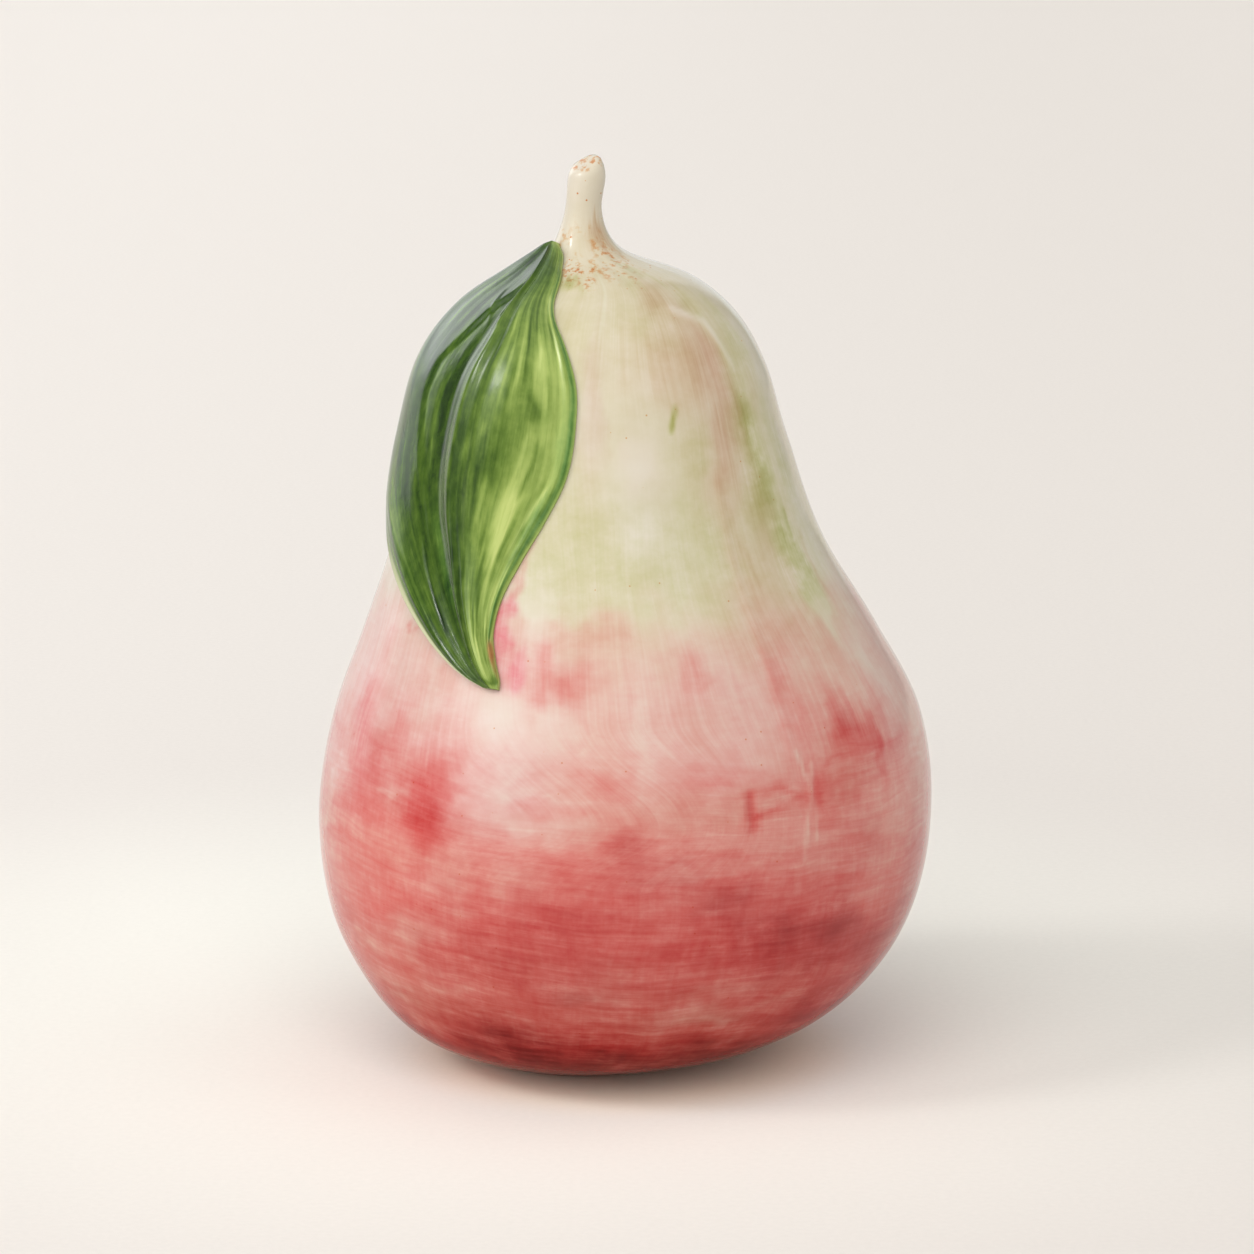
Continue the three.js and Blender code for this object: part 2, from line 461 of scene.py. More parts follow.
# %% [markdown]
# Green, tan, hot pink and rust
#
# The neck was washed in thin green, with olive on its right and a pinkish tan band between them. Where the
# leaf was painted, some pink ran along its edge and stayed brighter than the rest. Rust is where iron in
# the clay came through, at the root of the stem and on its cut end.

# %% Green, tan, pink and rust strokes
green = band(
    [(74, 0), (80, 0.06), (86, 0.17), (96, 0.16), (106, 0.1), (116, 0.1), (124, 0.17), (131, 0.14),
     (136, 0.08), (142, 0.04), (150, 0)]
)
# Tan is real paint on the neck and shoulder. Low down, full at the foot and gone by 36 mm up, it is painted
# shade: the warm brown that the glaze mirrors from the shaded paper at the bottom of the belly.
tan = band(
    [(0, 1.0), (6, 0.9), (11, 0.5), (20, 0.2), (30, 0.04), (36, 0), (66, 0), (76, 0.05), (90, 0),
     (112, 0.03), (122, 0.05), (130, 0.1), (134, 0.08), (141, 0.04), (150, 0.03)]
)
pink = 0 * up
rust = 0.9 * smoothstep(up, 147.2, 148)

GREEN_DABS = [
    (10, 91, 13, 9, 0.12),
    (-10, 88, 13, 8, 0.14),
    (-30, 92, 12, 11, 0.16),
    (-30, 106, 7, 4, 0.16),
    (-17, 124, 14, 4, 0.08),
    (-54, 104.5, 6.5, 8, 0.55),
    (-52, 114, 6, 8, 0.26),
    (-52, 97, 6, 6, 0.2),
    (-54, 104, 4, 6, 0.16),
    (-57, 91.5, 5, 3, 0.26),
    (-57, 86, 5, 5, 0.4),
    (-61.5, 89, 4, 6, 0.3),
    (-62, 83.5, 4.5, 3.5, 0.22),
    (-69, 103, 6, 9, 0.22),
    (-10, 104, 7, 4.5, -0.14),
    (-33, 98.5, 4.5, 3.6, -0.16),
    (-42, 117, 6, 10, -0.1),
    (-40, 103, 4, 9, -0.12),
    (34, 100, 30, 40, 0.08),
    (24, 129.8, 8, 0.8, 0.6),
    (-24, 130, 10, 1.4, 0.16),
    (-48, 127, 6, 2, 0.2),
    (-62, 120, 6, 6, 0.2),
    (-36, 131.2, 6, 1.2, 0.4),
]
TAN_DABS = [
    (-46, 115, 6, 10, 0.22),
    (-41, 106, 4, 9, 0.26),
    (-41, 121, 8, 6, 0.22),
    (-31, 127, 10, 3, 0.22),
    (0.5, 118, 3, 9, 0.1),
    (-28, 120, 15, 7, 0.2),
    (-24, 127, 8, 2, 0.16),
    (-8, 121, 5, 5, 0.1),
    (-38, 108, 11, 12, 0.14),
    (-50, 110, 7, 16, 0.12),
    (-50, 88, 6, 9, 0.2),
    # The next dab browns the root of the stem on its right: in part tan paint, in part painted shade on the
    # side away from the key.
    (-40, 137, 26, 3, 0.5),
    (-38, 96, 3.2, 9, 0.16),
    (-50, 77, 8, 5, 0.16),
    (-34, 78, 7, 6, 0.18),
    (-15, 52, 16, 3, 0.12),
    (-12, 65, 14, 5, 0.1),
]
PINK_DABS = [
    (25, 72.5, 2.6, 3, 0.6),
    (28, 79, 2, 5, 0.75, 8),
    (26, 85, 1.6, 3.6, 0.3, 12),
    (20.5, 91, 1, 2.4, 0.42, 25),
    (23.5, 88, 1.2, 3, 0.26, 25),
]
RUST_DABS = [
    (22, 131.6, 16, 1.8, 1.0),
    (4, 132, 18, 1.5, 0.6),
    (-34, 134, 22, 2.6, 0.8),
    (-26, 131.4, 9, 1.6, 0.5),
    (50, 136, 16, 3, 0.5),
    (0, 137.6, 30, 0.8, 0.3),
]
dab(wash, green, GREEN_DABS)
dab(wash, tan, TAN_DABS)
dab(wash, pink, PINK_DABS)
dab(wash, rust, RUST_DABS)

# %% Thin green lines, and the drip on the shoulder where the paint ran thin
DRIP = [(-35, 126.5), (-49.5, 124.5), (-54, 118)]

line(green, [(-23, 109), (-25, 112)], 0.5, 0.8)
line(green, [(-61.5, 94), (-61, 88)], 0.5, 0.5)
line(green, [(-56, 93), (-58, 90)], 0.5, 0.3)
line(tan, DRIP, 0.7, -0.3)
line(green, DRIP, 0.7, -0.2)

# %% [markdown]
# Every bristle counts
#
# Between the big strokes, a flat brush leaves many small ones. They are drawn here at random from a fixed
# seed, so each run gives the same pear: long and level on the lower half, short and upright on the neck.

# %% Small random strokes
LEVEL_STROKES = 420
UPRIGHT_STROKES = 260
NECK_START = 84  # millimetres up, where tan strokes take over from rose ones

random = np.random.default_rng(24)
for _ in range(LEVEL_STROKES):
    place = (random.uniform(-180, 180), random.uniform(5, 58))
    size = (random.uniform(4, 16), random.uniform(0.5, 1.5))
    wash(rose, place, size, random.normal(0, 0.17), random.uniform(-7, 3))
for _ in range(UPRIGHT_STROKES):
    place = (random.uniform(-180, 180), random.uniform(56, 128))
    size = (random.uniform(0.8, 2.4), random.uniform(3, 9))
    amount = random.normal(0, 0.05)
    if place[1] > NECK_START:
        wash(tan, place, size, amount)
    else:
        wash(rose, place, size, 1.6 * amount)

# %% Dabs on the back
BACK_EDGE = 84
# the layer, how many dabs, and the least and the most of: height, size round, size up and density
BACK_DABS = [
    (rose, 30, (44, 76), (3, 9), (2, 6), (-0.2, 0.55)),
    (green, 22, (84, 122), (3, 8), (3, 9), (-0.08, 0.36)),
    (maroon, 24, (8, 46), (6, 16), (2, 4), (-0.1, 0.34)),
]
for layer, count, heights, sizes_round, sizes_up, densities in BACK_DABS:
    for _ in range(count):
        place = (random.uniform(BACK_EDGE, 360 - BACK_EDGE), random.uniform(*heights))
        size = (random.uniform(*sizes_round), random.uniform(*sizes_up))
        wash(layer, place, size, random.uniform(*densities))

for layer in (rose, maroon, green, tan, pink):
    np.clip(layer, 0, None, out=layer)
print("heaviest rose", float(rose.max()), "heaviest green", float(green.max()))

# %% [markdown]
# The cast body
#
# Slip casting leaves an even wall, so the inside is the outside moved inwards. One grid runs down the
# outside, under the foot, up through the vent and round the hollow, because the real body is one unbroken
# skin of clay. The outside isn't perfectly round: a hand smoothed it, and the tip of the brush left a small
# dent in the soft glaze.

# %% Build the body
CAVITY_START = 0.6
CAVITY_END = 11.2
CAVITY_ROWS = 12
HAND_RIPPLE = 0.1
SKIN_INSET = 0.06  # keeps the ripples inside the solid's box

dents = 0 * up
line(dents, [(-23, 54), (-23.4, 49.4)], 0.7, -0.22)
line(dents, [(-22, 54), (-22.2, 49.4)], 0.6, 0.1)
line(dents, [(-24, 51), (-28, 51.8), (-33, 53)], 0.45, -0.1)
line(dents, [(-37, 58), (-35, 50), (-34, 43)], 0.5, 0.08)
line(dents, [(-34, 60), (-36.4, 52), (-36.8, 46)], 0.5, 0.07)
line(dents, [(-36, 100), (-35, 80), (-33, 60)], 0.8, 0.06)
line(dents, DRIP, 0.9, 0.08)
line(dents, [(12, 66), (7, 60), (-2, 52)], 0.6, 0.05)
ripple = HAND_RIPPLE * (waver(16, 14, 11) + 0.4 * waver(40, 6, 12)) * smoothstep(up, 2, 10)
ripple = ripple * smoothstep(140 - up, 0, 8)
outside = raised(outside_rings, outside_angles, dents + ripple - SKIN_INSET)


def foot_ring(radius, height):
    return np.stack(
        [FOOT_LEAN - radius * np.sin(angles), -radius * np.cos(angles), height + 0 * angles], -1
    )[None]


foot = np.concatenate([foot_ring(radius, 0) for radius in (14, 11, 8, 6, VENT_RADIUS + 0.4)])
bore = np.concatenate([foot_ring(VENT_RADIUS, height) for height in (0.3, 2.5, WALL)])
cavity_rings = np.linspace(CAVITY_START, CAVITY_END, CAVITY_ROWS)[:, None] + 0 * angles
cavity = raised(cavity_rings, angles + 0 * cavity_rings, -WALL + 0 * cavity_rings)
body = skin("painted_pear_body", np.concatenate([outside, foot, bore, cavity]))

# %% [markdown]
# Hand the paint over to the body
#
# Each layer goes to the mesh as a named number at every point. Two more things go with it: which way the
# brush went, and a pair of places stretched along its bristles, so that the material can draw fine streaks
# that follow the hand. On the belly the brush went round, on the neck it went down, and in the pale gap it
# swept to the right. The shine is how strongly the glaze mirrors, and it fades low on the belly, which
# faces the dull paper.

# %% Carry the paint
HIDDEN_ROWS = foot.shape[0] + bore.shape[0] + cavity.shape[0]


def with_inside(values, inside):
    """Add the rows under the foot and inside the hollow, where no paint went."""
    hidden = np.zeros((HIDDEN_ROWS, *values.shape[1:])) + inside
    return np.concatenate([values, hidden])


# Cream tint. It is left off the upper left of the belly, from about 13 degrees round and from 48 to 90 mm up,
# which paints it whiter there: in part the paler paint, in part a painted reflection of the bright room on
# the left.
cream_and_painted_reflection = 1.1 - 1.1 * smoothstep(around, 2, 24) * smoothstep(-up, -96, -82) * smoothstep(up, 42, 54)
wash(cream_and_painted_reflection, (2, 116), (5, 12), -0.7)
wash(cream_and_painted_reflection, (-14, 65), (24, 12), -0.8)
wash(cream_and_painted_reflection, (-64, 62), (8, 14), -0.4)
wash(cream_and_painted_reflection, (48, 52), (14, 9), 0.35)
wash(cream_and_painted_reflection, (-12, 96), (10, 9), -0.5)
wash(cream_and_painted_reflection, (-58, 96), (10, 30), 0.4)
# The next wash takes cream off the left of the stem, which paints it paler: in part its ivory, in part
# painted light from the key on the left.
wash(cream_and_painted_reflection, (55, 142), (50, 9), -0.6)
body_layers = {
    "rose": rose,
    "maroon": maroon,
    "green": green,
    "tan": tan,
    "pink": pink,
    "cream_and_painted_reflection": cream_and_painted_reflection,
    "rust": rust,
    "stem": smoothstep(up, 127, 134),
}
for name, layer in body_layers.items():
    carry(body, name, with_inside(layer, 0))
carry(body, "bare", with_inside(0 * up, 1))
carry(body, "shine", with_inside(0.02 + 0.48 * smoothstep(up, 7, 44), 0.2))


# %% Carry the lie of the bristles
def lay_place(turn, height):
    """A place on a round drum, so that noise that is stretched on the drum runs on round the back."""
    return np.stack([MEAN_RADIUS * np.sin(turn), MEAN_RADIUS * np.cos(turn), height], -1)


pale_gap = np.exp(-(((around - 10) / 24) ** 4)) * smoothstep(up, 49, 53)
level_lay = smoothstep(up + 2 * hand_up + 0.06 * np.abs(around), 66, 57) * (1 - pale_gap)
sweep = 17 * smoothstep(66 - up, 0, 16) * np.exp(-(((around - 4) / 26) ** 4)) * smoothstep(up, 40, 50)
turned = np.radians(around + sweep + 1.2 * waver(30, 12, 21))
slope = 3.4 * np.sin(outside_angles) - 0.7 * np.sin(3 * outside_angles + 1)
level = up - slope + 0.9 * waver(14, 11, 22) + 0.4 * waver(46, 5, 23)
carry(body, "level_lay", with_inside(level_lay, 0))
carry(body, "down_place", with_inside(lay_place(turned, up), 0))
carry(body, "level_place", with_inside(lay_place(outside_angles, level), 0))

# %% [markdown]
# The pressed leaf
#
# The leaf was rolled thin, pressed on the damp body and joined with slip. Its outline is given as heights
# on the body and angles round it, so the blade bends with the shoulder by itself. Across the blade runs a
# section with a raised rib, a channel to its left and a rolled margin. The channel ends in a sharp crease,
# which the glaze catches as a bright line.

# %% Outline and section of the leaf
LEAF_STATIONS = [
    (135.2, 54, 58, 62),
    (133.6, 37, 54, 76),
    (131.2, 32.5, 50, 84),
    (127.5, 28, 46, 93),
    (122, 15, 44, 101),
    (116, 8, 46, 104),
    (109, 7.5, 47.5, 103),
    (102, 10, 48, 99),
    (95.5, 15.8, 46.5, 91),
    (89, 22.5, 43, 78),
    (83, 27.5, 39.5, 63.5),
    (78, 29, 36, 51.5),
    (74, 27.8, 33, 42.3),
    (71.2, 26.4, 30.2, 35.2),
    (69.7, 26.3, 28, 29.7),
]
LEAF_LENGTH = 66
LEAF_GAP = 0.05  # clear of the body
LEAF_RIM = 1.0  # the blade's thickness at both ends
LEAF_TAPER = 0.45  # a lower power keeps the blade thick nearer to its ends
LEAF_SECTION = [
    (-1, 0.3),
    (-0.93, 0.75),
    (-0.8, 1.1),
    (-0.5, 2.2),
    (-0.3, 2.6),
    (-0.2, 2.55),
    (-0.1, 3.35),
    (0.02, 2.5),
    (0.28, 2.3),
    (0.6, 3.0),
    (0.84, 2.9),
    (1, 1.3),
]
CREASE = [
    (0, 0.02),
    (0.2, 0.03),
    (0.25, 0.2),
    (0.3, 0.28),
    (0.35, 0.36),
    (0.4, 0.37),
    (0.46, 0.33),
    (0.52, 0.26),
    (0.6, 0.23),
    (0.67, 0.28),
    (0.8, 0.3),
    (1, 0.3),
]
LOW_CREASE = [(0.52, 0.27), (0.6, 0.24), (0.67, 0.29), (0.8, 0.36)]
LEAF_ROWS = 250
LEAF_COLUMNS = 130
WALL_COLUMNS = 4

along = np.linspace(0, 1, LEAF_ROWS)[:, None] + np.zeros((1, LEAF_COLUMNS))
across = np.linspace(-1, 1, LEAF_COLUMNS)[None] + 0 * along
crease = np.interp(along, *zip(*CREASE))


# %% Noise and strokes on the leaf
LEAF_WASH_EDGE = 1.3


def leaf_waver(cells_along, cells_across, seed, bend=0.0):
    """Smooth noise from -1 to 1 over the blade."""
    knots = np.random.default_rng(seed).uniform(-1, 1, (cells_along + 3, cells_across + 3))
    u = np.clip((along + 0.02) * cells_along, 0, cells_along + 1.99)
    v = np.clip((across + bend * (along - 0.5) ** 2 + 1) / 2 * cells_across, 0, cells_across + 1.99)
    i = u.astype(int)
    j = v.astype(int)
    fu = smoothstep(u - i, 0, 1)
    fv = smoothstep(v - j, 0, 1)
    low = knots[i, j] * (1 - fv) + knots[i, j + 1] * fv
    high = knots[i + 1, j] * (1 - fv) + knots[i + 1, j + 1] * fv
    return low * (1 - fu) + high * fu


leaf_hand_along = 0.02 * leaf_waver(14, 8, 31) + 0.01 * leaf_waver(40, 14, 32)
leaf_hand_across = 0.04 * leaf_waver(9, 6, 33) + 0.01 * leaf_waver(30, 12, 34)


def leaf_wash(layer, place, size, density, tilt=0.0):
    """A soft oval on the blade. Places run along it from 0 to 1, and across it from -1 at the right to 1."""
    u = along + leaf_hand_along - place[0]
    v = across + leaf_hand_across - place[1] - tilt * u
    layer += density * np.exp(-(((u / size[0]) ** 2 + (v / size[1]) ** 2) ** LEAF_WASH_EDGE))


def leaf_line(layer, points, width, density):
    """A stroke along the blade through places, with its width across the blade."""
    places, values = zip(*points)
    middle = np.interp(along, places, values)
    inside = smoothstep(along, places[0] - 0.02, places[0] + 0.03)
    inside = inside * smoothstep(-along, -places[-1] - 0.02, -places[-1] + 0.05)
    layer += density * inside * np.exp(-(((across + 0.3 * leaf_hand_across - middle) / width) ** 2))


# %% [markdown]
# Relief of the leaf
#
# The blade is modelled, not only painted: the channel beside the rib lies lower and ends at the crease, the
# right edge has a thin raised lip, and the loaded brush left fine ridges along the blade. The channel is
# deepest beside the rib, so its floor leans away from the bright wall and stays dark.

# %% Build the leaf
def leaf_section(places_across):
    places = np.array([place for place, _ in LEAF_SECTION])
    counted = np.interp(places_across, places, np.arange(len(places)))
    return spline([[thick] for _, thick in LEAF_SECTION], counted)[..., 0]


relief = 0 * along
channel = smoothstep(across, -0.01, 0.08) * smoothstep(crease - across, -0.02, 0.05)
depth = np.clip(0.95 - 2.2 * across, 0.3, 0.95)
relief -= depth * channel * smoothstep(along, 0.12, 0.24) * smoothstep(-along, -0.78, -0.5)
leaf_line(relief, [(0.1, -0.93), (0.5, -0.93), (0.9, -0.9)], 0.03, 0.12)
leaf_line(relief, [(0.1, -0.86), (0.5, -0.86), (0.9, -0.82)], 0.03, -0.12)
leaf_line(relief, LOW_CREASE, 0.025, -0.14)
leaf_line(relief, [(0.6, 0.8), (0.75, 0.84), (0.93, 0.8)], 0.05, -0.12)
relief += 0.02 * leaf_waver(6, 60, 35, 0.5) * smoothstep(-across, -0.3, 0)
relief += 0.03 * leaf_waver(12, 34, 36, 0.4)
relief += 0.08 * leaf_waver(5, 7, 37)
relief += 0.04 * leaf_waver(26, 30, 38) * smoothstep(-across, 0, 0.3)
relief += 1.5 * np.exp(-(((along - 0.44) / 0.15) ** 2 + ((across + 0.36) / 0.27) ** 2))
relief -= 0.7 * smoothstep(across, 0.3, 0.6) * smoothstep(along, 0.58, 0.74)
leaf_line(relief, [(0.225, 0.26), (0.24, 0.22), (0.27, 0.14)], 0.016, 0.4)
leaf_line(relief, [(0.26, -0.1), (0.285, -0.04), (0.3, -0.02)], 0.016, 0.4)

height, right, rib, left = np.moveaxis(spline(LEAF_STATIONS, along * (len(LEAF_STATIONS) - 1)), -1, 0)
degrees = np.where(across < 0, rib + (right - rib) * -across, rib + (left - rib) * across)
leaf_ring = ring_at(height)
leaf_angle = np.radians(degrees)
fullness = np.sin(math.pi * np.clip(along, 0.004, 0.996)) ** LEAF_TAPER
edge = smoothstep(1 - np.abs(across), 0, 0.1)
thickness = LEAF_RIM + fullness * (leaf_section(across) - LEAF_RIM) + relief * fullness * edge
thickness += 0.8 * fullness * smoothstep(across, 0.84, 1.0) * smoothstep(along, 0.5, 0.62)
under = raised(leaf_ring, leaf_angle, LEAF_GAP + 0 * leaf_ring)
top = raised(leaf_ring, leaf_angle, LEAF_GAP + thickness)
shares = np.linspace(0, 1, WALL_COLUMNS + 2)[1:-1]
left_wall = np.stack([under[:, -1] + (top[:, -1] - under[:, -1]) * share for share in shares], 1)
right_wall = np.stack([top[:, 0] + (under[:, 0] - top[:, 0]) * share for share in shares], 1)
leaf = skin("painted_leaf", np.concatenate([under, left_wall, top[:, ::-1], right_wall], axis=1))

# %% [markdown]
# Paint on the leaf
#
# Three glazes lie on a pale yellow green: olive, which builds up to bottle green, teal along the edges, and
# a little brown at the tip. The left half is dark. The right half was wiped thin, and its bristle lines
# stay bright. The lowest part of the left edge was hardly painted, so it keeps a pale rim.

# %% Leaf strokes
olive = 0.72 + 1.6 * smoothstep(across, -0.3, 0.0) + 0.1 * smoothstep(across, 0.3, 0.5)
teal = 0.03 + 0 * along
brown = 0 * along

OLIVE_DABS = [
    (0.3, -0.8, 0.1, 0.2, -0.35),
    (0.25, -0.5, 0.08, 0.25, 0.5),
    (0.12, -0.3, 0.08, 0.8, 0.9),
    (0.17, -0.7, 0.03, 0.3, 0.5),
    (0.19, -0.9, 0.05, 0.16, -0.5),
    (0.36, -0.5, 0.12, 0.16, 0.2),
    (0.36, -0.3, 0.12, 0.14, 0.5),
    (0.66, 0.75, 0.14, 0.3, -0.8),
    (0.7, -0.4, 0.1, 0.35, 0.4, 0.3),
    (0.8, -0.5, 0.08, 0.3, 0.2),
    (0.395, -0.65, 0.018, 0.05, 1.0),
    (0.39, -0.62, 0.05, 0.14, 0.4),
    (0.45, -0.72, 0.08, 0.12, -0.2),
    (0.52, -0.36, 0.12, 0.12, 0.6, 0.6),
    (0.47, -0.5, 0.05, 0.12, 0.4, 0.6),
    (0.56, -0.2, 0.2, 0.16, 0.7),
    (0.57, -0.56, 0.07, 0.14, -0.34, 0.8),
    (0.6, -0.62, 0.09, 0.09, -0.2, 0.5),
    (0.54, -0.8, 0.1, 0.07, -0.16, 0.5),
    (0.68, -0.5, 0.06, 0.25, 0.3, 0.4),
    (0.56, -0.6, 0.05, 0.12, -0.2, 0.3),
    (0.64, -0.62, 0.05, 0.12, 0.14, 0.3),
    (0.73, -0.45, 0.05, 0.2, 0.2),
    # The next dab thins the olive low on the right half to a paler streak: in part thin paint, in part a
    # painted sheen.
    (0.84, -0.3, 0.08, 0.16, -0.4),
    (0.3, -0.66, 0.05, 0.14, 0.14, 0.3),
    (0.62, -0.5, 0.05, 0.09, 0.2, 0.4),
    (0.56, -0.5, 0.07, 0.1, 0.12, 0.5),
    (0.22, -0.75, 0.05, 0.12, 0.2, 0.3),
    (0.4, -0.84, 0.05, 0.05, 0.2, 0.3),
    (0.5, -0.75, 0.04, 0.06, 0.2, 0.4),
    (0.38, -0.9, 0.14, 0.08, -0.15),
    (0.2, -0.6, 0.08, 0.3, 0.25),
    (0.33, -0.86, 0.1, 0.1, 0.2),
    (0.45, 0.35, 0.2, 0.3, 0.25),
    (0.72, -0.8, 0.05, 0.14, -0.3),
    (0.79, -0.46, 0.09, 0.16, -0.25),
    (0.8, -0.1, 0.12, 0.2, 0.5),
    (0.86, -0.55, 0.06, 0.18, -0.1),
    (0.95, -0.5, 0.025, 0.7, 0.9),
    (0.33, 0.15, 0.1, 0.08, 0.4),
    (0.45, 0.12, 0.12, 0.1, 0.35),
    (0.4, 0.26, 0.1, 0.06, -0.35),
    (0.5, 0.2, 0.09, 0.05, -0.3),
    (0.62, 0.12, 0.1, 0.07, -0.4),
    (0.16, -0.1, 0.1, 0.4, 0.5),
]
TEAL_DABS = [
    (0.25, 0.6, 0.2, 0.5, 0.14),
    (0.5, 0.75, 0.3, 0.3, 0.16),
    (0.12, 0.1, 0.1, 0.7, 0.1),
    (0.66, 0.06, 0.09, 0.08, 0.4),
    (0.45, -0.92, 0.06, 0.07, 0.14),
    (0.6, -0.9, 0.05, 0.07, 0.2),
]
dab(leaf_wash, olive, OLIVE_DABS)
dab(leaf_wash, teal, TEAL_DABS)
leaf_wash(brown, (0.85, -0.93), (0.035, 0.12), 1.3)
leaf_wash(brown, (0.9, -0.95), (0.03, 0.1), 0.6)
leaf_wash(olive, (0.85, -0.95), (0.04, 0.16), -0.5)

leaf_line(teal, [(0.14, -0.96), (0.3, -0.97), (0.6, -0.95), (0.84, -0.9)], 0.018, 0.4)
leaf_line(olive, [(0.14, -0.97), (0.3, -0.975), (0.6, -0.97), (0.84, -0.92)], 0.014, 0.5)
leaf_line(olive, LOW_CREASE, 0.022, 1.0)
leaf_line(olive, [(0.2, -0.26), (0.3, -0.24), (0.5, -0.2), (0.75, -0.18)], 0.07, 0.4)
leaf_line(olive, [(0.26, 0.14), (0.33, 0.28), (0.4, 0.32), (0.48, 0.28)], 0.014, -1.1)
leaf_line(olive, [(0.3, 0.1), (0.38, 0.2), (0.46, 0.2), (0.54, 0.14)], 0.014, -0.8)
leaf_line(olive, [(0.6, 0.76), (0.75, 0.78), (0.94, 0.76)], 0.03, 1.2)
leaf_line(olive, [(0.2, -0.88), (0.5, -0.87), (0.85, -0.8)], 0.06, -0.25)
leaf_line(olive, [(0.2, 0.34), (0.3, 0.4), (0.45, 0.44), (0.6, 0.36)], 0.03, 0.5)

# %% Small random strokes on the leaf
LEAF_STROKES = 520
TILTED_PART = -0.2  # strokes to the right of this place across the blade lean outwards
WALL_OLIVE = 0.35
LEAST_OLIVE = 0.05

for _ in range(LEAF_STROKES):
    place = (random.uniform(0.08, 0.95), random.uniform(-0.95, 0.95))
    size = (random.uniform(0.015, 0.08), random.uniform(0.012, 0.035))
    density = random.normal(0, 0.34)
    tilt = random.uniform(-0.1, 0.6) if place[1] < TILTED_PART else 0.0
    leaf_wash(olive, place, size, density, tilt)
inside_edge = smoothstep(1 - np.abs(across), 0.0, 0.03)
olive = np.clip(olive, LEAST_OLIVE, None) * inside_edge + WALL_OLIVE * (1 - inside_edge)
teal = np.clip(teal, 0, None)
brown = np.clip(brown, 0, None)


# %% Carry the leaf's paint
HALF_BLADE = 17  # millimetres
BLADE_BOW = 9  # how far the bristle lines bow outwards at both ends


def leaf_ringed(values, underneath, wall):
    """Values for the whole loop of the blade's section, from those on its top."""
    size = values.shape[2:]
    bottom = np.zeros((LEAF_ROWS, LEAF_COLUMNS, *size)) + underneath
    side = np.zeros((LEAF_ROWS, WALL_COLUMNS, *size)) + wall
    return np.concatenate([bottom, side, values[:, ::-1], side], axis=1)


carry(leaf, "olive", leaf_ringed(olive, 1.0, WALL_OLIVE))
carry(leaf, "teal", leaf_ringed(teal, 0.1, 0.1))
carry(leaf, "brown", leaf_ringed(brown, 0, 0))
pale_wall = smoothstep(along[:, :1], 0.45, 0.65) + np.zeros((1, WALL_COLUMNS))
pale = leaf_ringed(smoothstep(across, 0.85, 0.93) * smoothstep(along, 0.6, 0.75), 0, 0)
pale[:, LEAF_COLUMNS : LEAF_COLUMNS + WALL_COLUMNS] = pale_wall
carry(leaf, "pale_edge", pale)
bowed = across * HALF_BLADE + BLADE_BOW * (along - 0.5) ** 2 * np.sign(across)
blade = np.stack([bowed, along * LEAF_LENGTH, 0 * along], -1)
carry(leaf, "blade_place", leaf_ringed(blade, 0.0, 0.0))
carry(leaf, "brushed", leaf_ringed(smoothstep(-across, -0.1, 0.3), 0, 0))
print("heaviest olive", float(olive.max()))

# %% [markdown]
# Helpers for materials
#
# A material in Blender is a graph of small nodes. These helpers add one node at a time and connect it, so
# that the recipes further down read like sums.

# %% Node helpers
SWING_GAIN = 4.0  # Blender's noise stays near the middle of its range, so it is spread out this much


def node(tree, kind, inputs=None, **settings):
    """Add a shader node, set its properties, and set or connect its inputs."""
    made = tree.nodes.new("ShaderNode" + kind)
    for name, value in settings.items():
        setattr(made, name, value)
    for name, value in (inputs or {}).items():
        socket = made.inputs[name]
        if isinstance(value, bpy.types.NodeSocket):
            tree.links.new(value, socket)
        else:
            socket.default_value = value
    return made


def calc(tree, operation, *values):
    """One sum on numbers."""
    return node(tree, "Math", dict(enumerate(values)), operation=operation).outputs[0]


def vector_calc(tree, operation, *values):
    """One sum on vectors."""
    return node(tree, "VectorMath", dict(enumerate(values)), operation=operation).outputs["Vector"]


def ramp(tree, value, low, high, to_low=0.0, to_high=1.0):
    inputs = {"Value": value, "From Min": low, "From Max": high, "To Min": to_low, "To Max": to_high}
    return node(tree, "MapRange", inputs, interpolation_type="SMOOTHSTEP").outputs["Result"]


def number(tree, name):
    return node(tree, "Attribute", attribute_name=name).outputs["Fac"]


def vector(tree, name):
    return node(tree, "Attribute", attribute_name=name).outputs["Vector"]


def swing(tree, place, stretch, detail=3):
    """Noise that swings about zero, roughly from -1 to 1, stretched along the axes."""
    stretched = vector_calc(tree, "MULTIPLY", place, stretch)
    noise = node(tree, "TexNoise", {"Vector": stretched, "Scale": 1.0, "Detail": detail, "Roughness": 0.6})
    return calc(tree, "MULTIPLY_ADD", noise.outputs["Fac"], SWING_GAIN, -SWING_GAIN / 2)


def specks(tree, place, spacing, radius, share):
    """Small round specks, one in some of the cells of a Voronoi pattern."""
    cells = node(tree, "TexVoronoi", {"Vector": place, "Scale": 1 / spacing, "Randomness": 1.0})
    chosen = node(tree, "SeparateColor", {"Color": cells.outputs["Color"]})
    picked = calc(tree, "LESS_THAN", chosen.outputs["Red"], share)
    dot = ramp(tree, cells.outputs["Distance"], radius / spacing, 0.5 * radius / spacing)
    return calc(tree, "MULTIPLY", dot, picked)


def mixed(tree, share, first, second):
    """A blend of two numbers."""
    return node(tree, "Mix", {0: share, 2: first, 3: second}, data_type="FLOAT").outputs[0]


def blended(tree, share, first, second):
    """A blend of two colours."""
    return node(tree, "Mix", {0: share, 6: first, 7: second}, data_type="RGBA").outputs[2]


